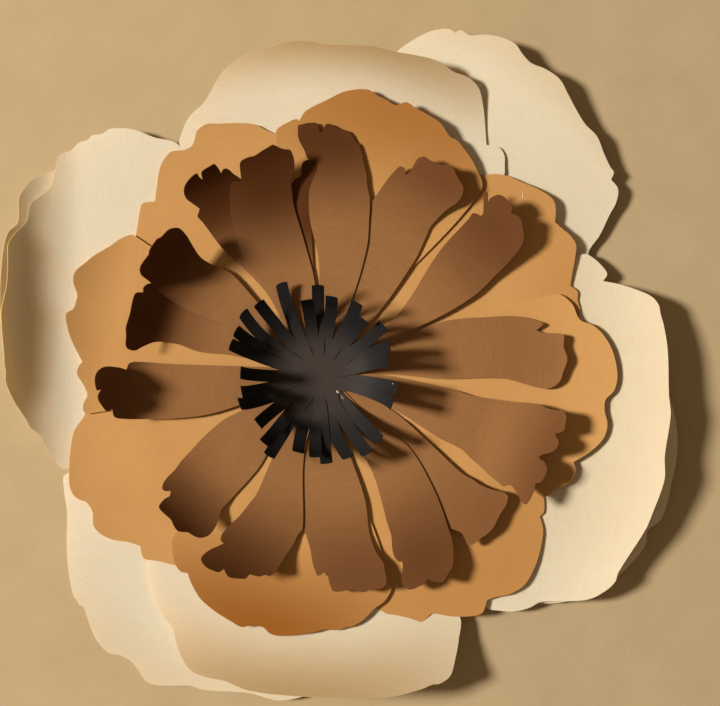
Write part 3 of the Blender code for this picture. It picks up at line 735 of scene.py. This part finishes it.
def fringe_piece(level, finish):
    """One fringed disc of the black centre."""
    strips = FRINGE_STRIPS[level]
    name = "fringed_centre_" + level
    mesh = bpy.data.meshes.new(name)
    mesh.from_pydata([(0.0, 0.0, 0.0)] * len(strips), [], [])
    around = [heading for heading, _, _ in strips]
    gaps = [(after - here) % 360 for here, after in zip(around, around[1:] + around[:1])]
    told = {
        "heading": [math.radians(heading) for heading in around],
        "roll_radius": [roll_radius(reach * MM) for _, reach, _ in strips],
        "swing": [math.radians(swing) for _, _, swing in strips],
        "half_left": [math.radians(gap / 2) for gap in gaps],
        "half_right": [math.radians(gap / 2) for gap in gaps[-1:] + gaps[:-1]],
    }
    for key, values in told.items():
        mesh.attributes.new(key, "FLOAT", "POINT").data.foreach_set("value", values)
    piece = made_of_card("card_" + name, mesh, FRINGED_DISC, {
        "Strip length": FRINGE_LENGTH - FRINGE_UNCUT,
        "Strip width": FRINGE_WIDTH,
        "Flare": FRINGE_FLARE,
        "Uncut radius": FRINGE_UNCUT,
        "Base height": FIRST_LAYER + FRINGE_LAYERS[level] * LAYER_PITCH,
        "Middle Y": FRINGE_MIDDLE_Y,
        "Shade start": FRINGE_SHADE_START,
        "Shade end": FRINGE_SHADE_END,
        "Segments": FRINGE_SEGMENTS,
    }, finish)
    place_piece(piece, name)


def glue_mark(verts, faces, place, along, length, width, height):
    """A small set drop or string of hot glue that lies on whatever is under it."""
    graph = bpy.context.evaluated_depsgraph_get()
    above = Vector((place[0] * MM, place[1] * MM, GLUE_DROP))
    _, spot, normal, *_ = bpy.context.scene.ray_cast(graph, above, Vector((0.0, 0.0, -1.0)))
    heading = math.radians(along)
    side = normal.cross(Vector((math.cos(heading), math.sin(heading), 0.0))).normalized()
    forward = side.cross(normal)
    middle = spot + normal * (height * MM * (1 - GLUE_SINK) / 2)
    half_length, half_width = 0.5 * length * MM, 0.5 * width * MM
    half_height = height * MM * (1 + GLUE_SINK) / 2
    first = len(verts)
    verts.append(middle - normal * half_height)
    for ring in range(1, GLUE_RINGS):
        tilt = math.pi * ring / GLUE_RINGS
        for step in range(GLUE_SIDES):
            turn = 2 * math.pi * step / GLUE_SIDES
            verts.append(
                middle + forward * (half_length * math.sin(tilt) * math.cos(turn))
                + side * (half_width * math.sin(tilt) * math.sin(turn))
                - normal * (half_height * math.cos(tilt))
            )
    verts.append(middle + normal * half_height)
    last = len(verts) - 1
    for step in range(GLUE_SIDES):
        after = (step + 1) % GLUE_SIDES
        faces.append((first, first + 1 + after, first + 1 + step))
        faces.append((last, last - GLUE_SIDES + step, last - GLUE_SIDES + after))
        for ring in range(GLUE_RINGS - 2):
            row = first + 1 + ring * GLUE_SIDES
            faces.append((row + step, row + after, row + GLUE_SIDES + after, row + GLUE_SIDES + step))


def glue_piece(finish):
    """All marks of set glue, as one piece."""
    verts, faces = [], []
    for mark in GLUE_MARKS:
        glue_mark(verts, faces, *mark)
    mesh = bpy.data.meshes.new("hot_glue_marks")
    mesh.from_pydata(verts, [], faces)
    mesh.shade_smooth()
    mesh.materials.append(finish)
    glue = bpy.data.objects.new("hot_glue_marks", mesh)
    bpy.context.scene.collection.objects.link(glue)
    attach(glue, "root")


# Finishes

def srgb(red, green, blue):
    """A colour given as screen values from 0 to 255."""
    parts = [value / 255 for value in (red, green, blue)]
    return (*[p / 12.92 if p <= 0.04045 else ((p + 0.055) / 1.055) ** 2.4 for p in parts], 1.0)


def noise(tree, place, fineness, detail):
    """Soft noise at places on the card; its values lie about one half."""
    return add_node(tree, "ShaderNodeTexNoise", Vector=place, Scale=fineness, Detail=detail).outputs[0]


def make_mottle():
    """Uneven tone of dyed card: broad patches and fine flecks, about a middle of one half."""
    tree, given, out = new_tree("card_mottle", "ShaderNodeTree", [
        ("Vector", VECTOR, None), ("Patch size", FLOAT, 0.05), ("Fleck size", FLOAT, 0.001),
        ("Amount", FLOAT, 1.0)], [("Tone", FLOAT)])
    patches = noise(tree, given["Vector"], calc(tree, "DIVIDE", 1.0, given["Patch size"]), 3.0)
    flecks = noise(tree, given["Vector"], calc(tree, "DIVIDE", 1.0, given["Fleck size"]), 2.0)
    swing = calc(tree, "ADD", calc(tree, "SUBTRACT", patches, 0.5),
                 calc(tree, "MULTIPLY", calc(tree, "SUBTRACT", flecks, 0.5), 0.5))
    tone = calc(tree, "ADD", 0.5, calc(tree, "MULTIPLY", swing, given["Amount"]))
    tree.links.new(tone, out["Tone"])
    return tree


def make_linen():
    """Linen-embossed card: fine crossed ridges that come and go like threads."""
    tree, given, out = new_tree("linen_emboss", "ShaderNodeTree", [
        ("Vector", VECTOR, None), ("Thread pitch", FLOAT, 0.0014), ("Thread length", FLOAT, 0.02),
        ("Cross share", FLOAT, 0.5)], [("Lines", FLOAT), ("Height", FLOAT)])
    fine = calc(tree, "DIVIDE", 1.0, given["Thread pitch"])
    coarse = calc(tree, "DIVIDE", 1.0, given["Thread length"])
    threads = []
    for across, along in ((fine, coarse), (coarse, fine)):
        scale = add_node(tree, "ShaderNodeCombineXYZ", X=across, Y=along, Z=1.0).outputs[0]
        stretched = add_node(tree, "ShaderNodeVectorMath", {"operation": "MULTIPLY"})
        tree.links.new(given["Vector"], stretched.inputs[0])
        tree.links.new(scale, stretched.inputs[1])
        threads.append(noise(tree, stretched.outputs[0], 1.0, 1.0))
    crossing = calc(tree, "MULTIPLY", given["Cross share"], calc(tree, "SUBTRACT", threads[1], 0.5))
    tree.links.new(calc(tree, "ADD", threads[0], crossing), out["Lines"])
    tree.links.new(calc(tree, "MAXIMUM", threads[0], threads[1]), out["Height"])
    return tree


def new_material(name):
    """An empty material and its tree."""
    material = bpy.data.materials.new(name)
    material.use_nodes = True
    return material, material.node_tree


def give_surface(tree, colour, mottle, roughness, swing, height, bump, depth):
    """The material's shader with its colour, a roughness that follows the mottle, and relief."""
    shader = tree.nodes["Principled BSDF"]
    tree.links.new(colour, shader.inputs["Base Color"])
    rough = calc(tree, "ADD", roughness - swing / 2, calc(tree, "MULTIPLY", mottle, swing))
    tree.links.new(rough, shader.inputs["Roughness"])
    relief = add_node(tree, "ShaderNodeBump", Height=height, Strength=bump, Distance=depth)
    tree.links.new(relief.outputs[0], shader.inputs["Normal"])
    return shader


def card_finish(name, light, dark, deep, roughness, patch, amount, pitch, lines, bump,
                specular=0.3, glow=0.0):
    """Dyed card: mottled colour, painted shade towards the rims, embossed lines, a fibrous surface."""
    material, tree = new_material(name)
    flat = add_node(tree, "ShaderNodeUVMap", {"uv_map": "flat_card"}).outputs[0]
    mottle = add_node(tree, "ShaderNodeGroup", {"node_tree": MOTTLE}, Vector=flat, Patch_size=patch,
                      Fleck_size=FLECK_SIZE, Amount=amount).outputs[0]
    linen = add_node(tree, "ShaderNodeGroup", {"node_tree": LINEN}, Vector=flat, Thread_pitch=pitch,
                     Thread_length=pitch * THREAD_PITCHES, Cross_share=CROSS_SHARE).outputs
    lined = calc(tree, "MULTIPLY", calc(tree, "SUBTRACT", linen["Lines"], 0.5), lines)
    tone = calc(tree, "ADD", mottle, lined)
    tone.node.use_clamp = True
    # Painted shade: the deep colour is mixed in as far as the shade attribute says
    rim = add_node(tree, "ShaderNodeAttribute", {"attribute_name": "painted_rim_shade"}).outputs["Fac"]
    colour = mixed(tree, rim, mixed(tree, tone, dark, light), deep)
    fibres = calc(tree, "MULTIPLY", noise(tree, flat, FIBRE_FINENESS, 3.0), FIBRE_SHARE)
    height = calc(tree, "ADD", linen["Height"], fibres)
    shader = give_surface(tree, colour, mottle, roughness, CARD_SWING, height, bump, CARD_RELIEF)
    shader.inputs["Specular IOR Level"].default_value = specular
    shader.inputs["Subsurface Weight"].default_value = glow
    shader.inputs["Subsurface Radius"].default_value = GLOW_COLOUR
    shader.inputs["Subsurface Scale"].default_value = GLOW_REACH
    return material


def plain_grain(name, light, dark, roughness, grain, bump):
    """Cut card edges, glue, the backing and the floor: a grain on Object coordinates."""
    material, tree = new_material(name)
    place = tree.nodes.new("ShaderNodeTexCoord").outputs["Object"]
    mottle = add_node(tree, "ShaderNodeGroup", {"node_tree": MOTTLE}, Vector=place,
                      Patch_size=grain * GRAIN_PATCH, Fleck_size=grain, Amount=GRAIN_CONTRAST).outputs[0]
    colour = mixed(tree, mottle, dark, light)
    give_surface(tree, colour, mottle, roughness, GRAIN_SWING, mottle, bump, grain * GRAIN_RELIEF)
    return material


def glue_finish(name, colour):
    """Set hot glue: pale, glossy and a little cloudy."""
    cloudy = tuple(0.8 * part for part in colour[:3]) + (1.0,)
    material = plain_grain(name, light=colour, dark=cloudy, roughness=0.2, grain=0.0006, bump=0.3)
    shader = material.node_tree.nodes["Principled BSDF"]
    shader.inputs["Coat Weight"].default_value = 0.8
    shader.inputs["Coat Roughness"].default_value = 0.05
    return material


MOTTLE = make_mottle()
LINEN = make_linen()
CURLED_CARD = make_curled_card()
FRINGED_DISC = make_fringed_disc()

# The finish of each kind of card: its face, then its cut edge. A face's deep colour is its
# painted shade
CREAM = (
    card_finish("cream_card", light=srgb(248, 235, 213), dark=srgb(240, 223, 197),
                deep=srgb(192, 168, 124), roughness=0.72, patch=0.06, amount=1.0,
                pitch=0.0014, lines=0.9, bump=0.35, glow=0.45),
    # Painted glow: the golden cut edge stands in for light shining through the cream rims
    plain_grain("cream_cut_edge_painted_glow", light=srgb(232, 208, 140), dark=srgb(212, 182, 112),
                roughness=0.8, grain=0.0008, bump=0.2),
)
ORANGE = (
    card_finish("orange_card", light=srgb(216, 168, 106), dark=srgb(204, 154, 90),
                deep=srgb(160, 100, 28), roughness=0.75, patch=0.05, amount=1.1,
                pitch=0.0016, lines=0.5, bump=0.25),
    plain_grain("orange_cut_edge", light=srgb(226, 172, 110), dark=srgb(196, 138, 78),
                roughness=0.85, grain=0.0008, bump=0.2),
)
BROWN = (
    card_finish("brown_card", light=srgb(163, 119, 76), dark=srgb(147, 103, 62),
                deep=srgb(88, 48, 14), roughness=0.78, patch=0.05, amount=1.1,
                pitch=0.0013, lines=0.8, bump=0.35, specular=0.2),
    plain_grain("brown_cut_edge", light=srgb(120, 76, 44), dark=srgb(92, 54, 28),
                roughness=0.85, grain=0.0008, bump=0.2),
)
BLACK = (
    card_finish("black_card", light=srgb(78, 70, 67), dark=srgb(58, 52, 50),
                deep=srgb(32, 32, 34), roughness=0.62, patch=0.02, amount=1.5,
                pitch=0.0012, lines=0.7, bump=0.35, specular=0.14),
    plain_grain("black_cut_edge", light=srgb(40, 38, 36), dark=srgb(24, 22, 21),
                roughness=0.85, grain=0.0008, bump=0.2),
)
GLUE = glue_finish("hot_glue", srgb(226, 218, 200))
BACKING = plain_grain("backing_card", light=srgb(222, 206, 176), dark=srgb(200, 182, 150),
                      roughness=0.85, grain=0.0012, bump=0.3)
FLOOR = plain_grain("pale_floor", light=srgb(201, 182, 145), dark=srgb(190, 171, 134),
                    roughness=0.9, grain=0.003, bump=0.1)


# The flower

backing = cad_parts["backing_disc"]
backing.data.materials.clear()
backing.data.materials.append(BACKING)

for number, (name, petal) in enumerate(OUTER_PETALS.items()):
    petal_piece("outer_petal_" + name, petal, "outer", CREAM, number)
for number, (name, petal) in enumerate(MIDDLE_PETALS.items()):
    petal_piece("middle_petal_" + name, petal, "middle", ORANGE, number)
for number, petal in enumerate(INNER_PETALS, start=1):
    petal_piece(f"inner_petal_{number:02d}", petal, "inner", BROWN, number)
for level in FRINGE_STRIPS:
    fringe_piece(level, BLACK)
glue_piece(GLUE)


# Floor, light and camera

bpy.ops.mesh.primitive_plane_add(size=FLOOR_SIZE)
floor = bpy.context.active_object
floor.name = "studio_floor"
floor.data.materials.append(FLOOR)

lamp = bpy.data.lights.new("key_light", "AREA")
lamp.shape = "DISK"
lamp.size = KEY_SIZE
lamp.energy = KEY_POWER
lamp.color = KEY_COLOUR
key = bpy.data.objects.new("key_light", lamp)
bpy.context.scene.collection.objects.link(key)
key.location = KEY_DISTANCE * Vector((
    math.cos(KEY_HEADING) * math.cos(KEY_ELEVATION),
    math.sin(KEY_HEADING) * math.cos(KEY_ELEVATION),
    math.sin(KEY_ELEVATION),
))
key.rotation_euler = (-key.location).to_track_quat("-Z", "Y").to_euler()

world = bpy.data.worlds.new("soft_fill")
bpy.context.scene.world = world
world.use_nodes = True
sky = world.node_tree.nodes["Background"].inputs
sky["Color"].default_value = FILL_COLOUR
sky["Strength"].default_value = FILL_STRENGTH

view = bpy.data.cameras.new("camera")
view.lens = CAMERA_LENS
camera = bpy.data.objects.new("camera", view)
bpy.context.scene.collection.objects.link(camera)
camera.location = CAMERA_PLACE
bpy.context.scene.camera = camera
bpy.context.scene.view_settings.view_transform = "Standard"
